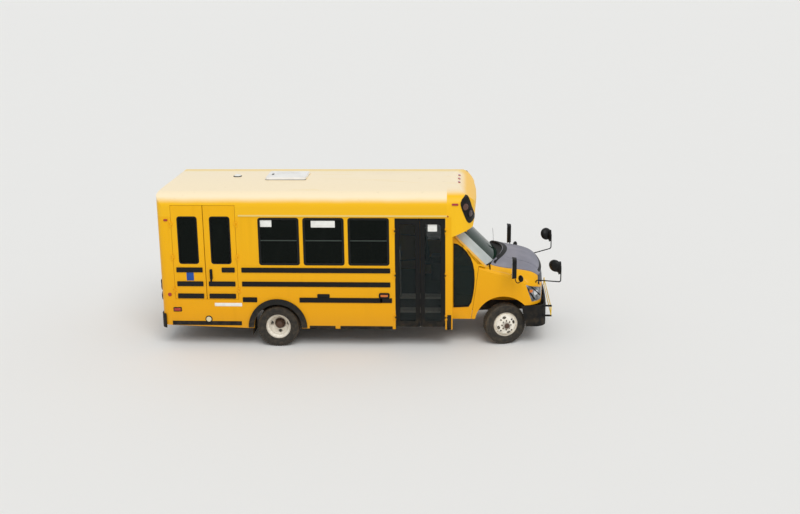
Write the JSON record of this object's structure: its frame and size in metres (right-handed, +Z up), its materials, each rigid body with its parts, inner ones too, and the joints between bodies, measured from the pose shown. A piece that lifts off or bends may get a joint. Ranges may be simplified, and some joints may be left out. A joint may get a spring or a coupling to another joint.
{
  "type": "school bus",
  "caption": "Small school bus: wide passenger body on a cutaway van chassis, with folding entrance leaves, wheelchair-lift doors, rear door, stop arm and crossing arm.",
  "frame": {"origin": "on the ground, midway along the bus between its rear bumper and its front mirror arms, and midway between its side mirrors", "axes": "+X forward, +Y to the bus's left, +Z up; the entrance is on the right side, at -Y"},
  "size_m": [7.111, 2.7, 2.909],
  "materials": {
    "yellow_paint": "gloss",
    "cream_paint": "gloss",
    "cap_gelcoat": "gloss",
    "hood_paint": "matt",
    "black_paint": "satin",
    "frame_aluminium": "black anodised",
    "chassis_paint": "matt",
    "cast_steel": "matt",
    "wheel_paint": "satin",
    "tyre_rubber": "matt",
    "black_rubber": "matt",
    "black_plastic": "textured",
    "dash_plastic": "textured",
    "seat_steel": "satin",
    "floor_steel": "matt",
    "seat_vinyl": "soft",
    "tinted_glass": "tinted",
    "clear_lens": "clear",
    "red_lens": "gloss",
    "amber_lens": "gloss",
    "sign_red": "gloss",
    "arm_yellow": "gloss"
  },
  "bodies": {
    "bus_body": {"amber_lamps": "amber_lens", "arch_trim": "black_rubber", "arm_mounts": "black_paint", "body_floor": "floor_steel", "body_rear": "yellow_paint", "body_roof": "cream_paint", "body_side_left": "yellow_paint", "body_side_right": "yellow_paint", "bumpers": "black_paint", "cab_shell": "yellow_paint", "chassis_frame": "chassis_paint", "cross_members": "chassis_paint", "dashboard": "dash_plastic", "front_axle": "cast_steel", "front_cap": "cap_gelcoat", "fuel_tank": "chassis_paint", "grille": "black_plastic", "headlamps": "clear_lens", "mirrors": "black_plastic", "nose_fenders": "yellow_paint", "power_unit": "cast_steel", "rear_axle": "cast_steel", "red_lamps": "red_lens", "rub_rails": "black_paint", "seat_frames": "seat_steel", "seat_pads": "seat_vinyl", "window_frames": "frame_aluminium", "window_glass": "tinted_glass"},
    "knuckle_left": {"knuckle_left": "cast_steel"},
    "front_wheel_left": {"front_wheel_left": "wheel_paint", "front_tyre_left": "tyre_rubber"},
    "rear_wheels_left": {"rear_wheels_left": "wheel_paint", "rear_tyres_left": "tyre_rubber"},
    "knuckle_right": {"knuckle_right": "cast_steel"},
    "front_wheel_right": {"front_wheel_right": "wheel_paint", "front_tyre_right": "tyre_rubber"},
    "rear_wheels_right": {"rear_wheels_right": "wheel_paint", "rear_tyres_right": "tyre_rubber"},
    "entrance_leaf_rear": {"entrance_leaf_rear": "black_paint"},
    "entrance_leaf_front": {"entrance_leaf_front": "black_paint"},
    "lift_door_rear": {"lift_door_rear": "yellow_paint"},
    "lift_door_front": {"lift_door_front": "yellow_paint"},
    "driver_door": {"driver_door": "yellow_paint"},
    "rear_door": {"rear_door": "yellow_paint"},
    "roof_hatch": {"roof_hatch": "cream_paint"},
    "hood": {"hood": "hood_paint"},
    "crossing_arm": {"crossing_arm": "arm_yellow"},
    "stop_arm": {"stop_arm": "sign_red"}
  },
  "joints": [
    {"name": "steer_left", "type": "hinge", "parent": "bus_body", "child": "knuckle_left", "pos_m": [2.563, 0.8, 0.37], "axis": [0, 0, 1], "range_deg": [-48, 18]},
    {"name": "steer_right", "type": "hinge", "parent": "bus_body", "child": "knuckle_right", "pos_m": [2.563, -0.8, 0.37], "axis": [0, 0, 1], "range_deg": [-48, 18]},
    {"name": "front_spin_left", "type": "hinge", "parent": "knuckle_left", "child": "front_wheel_left", "pos_m": [2.54191, 0.87872, 0.37], "axis": [-0.2588, 0.9659, 0], "continuous": true},
    {"name": "front_spin_right", "type": "hinge", "parent": "knuckle_right", "child": "front_wheel_right", "pos_m": [2.58409, -0.87872, 0.37], "axis": [-0.2588, 0.9659, 0], "continuous": true},
    {"name": "rear_spin_left", "type": "hinge", "parent": "bus_body", "child": "rear_wheels_left", "pos_m": [-1.45, 0.965, 0.37], "axis": [0, 1, 0], "continuous": true},
    {"name": "rear_spin_right", "type": "hinge", "parent": "bus_body", "child": "rear_wheels_right", "pos_m": [-1.45, -0.965, 0.37], "axis": [0, 1, 0], "continuous": true},
    {"name": "entrance_rear_hinge", "type": "hinge", "parent": "bus_body", "child": "entrance_leaf_rear", "pos_m": [0.654, -1.233, 1.371], "axis": [0, 0, -1], "range_deg": [0, 95]},
    {"name": "entrance_front_hinge", "type": "hinge", "parent": "bus_body", "child": "entrance_leaf_front", "pos_m": [1.535, -1.233, 1.371], "axis": [0, 0, 1], "range_deg": [0, 95]},
    {"name": "lift_rear_hinge", "type": "hinge", "parent": "bus_body", "child": "lift_door_rear", "pos_m": [-3.272, -1.233, 1.739], "axis": [0, 0, -1], "range_deg": [0, 100]},
    {"name": "lift_front_hinge", "type": "hinge", "parent": "bus_body", "child": "lift_door_front", "pos_m": [-2.131, -1.233, 1.739], "axis": [0, 0, 1], "range_deg": [0, 100]},
    {"name": "driver_door_hinge", "type": "hinge", "parent": "bus_body", "child": "driver_door", "pos_m": [2.12, 1.021, 1.08], "axis": [0, 0, -1], "range_deg": [0, 70]},
    {"name": "rear_door_hinge", "type": "hinge", "parent": "bus_body", "child": "rear_door", "pos_m": [-3.544, -0.45, 1.565], "axis": [0, 0, 1], "range_deg": [0, 110]},
    {"name": "roof_hatch_hinge", "type": "hinge", "parent": "bus_body", "child": "roof_hatch", "pos_m": [-0.994, 0, 2.887], "axis": [0, 1, 0], "range_deg": [0, 70]},
    {"name": "hood_hinge", "type": "hinge", "parent": "bus_body", "child": "hood", "pos_m": [2.342, 0, 1.424], "axis": [0, -1, 0], "range_deg": [0, 55]},
    {"name": "crossing_arm_hinge", "type": "hinge", "parent": "bus_body", "child": "crossing_arm", "pos_m": [3.407, -0.93, 0.625], "axis": [0, 0, -1], "range_deg": [0, 90]},
    {"name": "stop_arm_hinge", "type": "hinge", "parent": "bus_body", "child": "stop_arm", "pos_m": [0.886, 1.246, 1.3], "axis": [0, 0, -1], "range_deg": [0, 90]}
  ],
  "couplings": [
    {"joint": "steer_right", "follows": "steer_left", "ratio": 1}
  ]
}
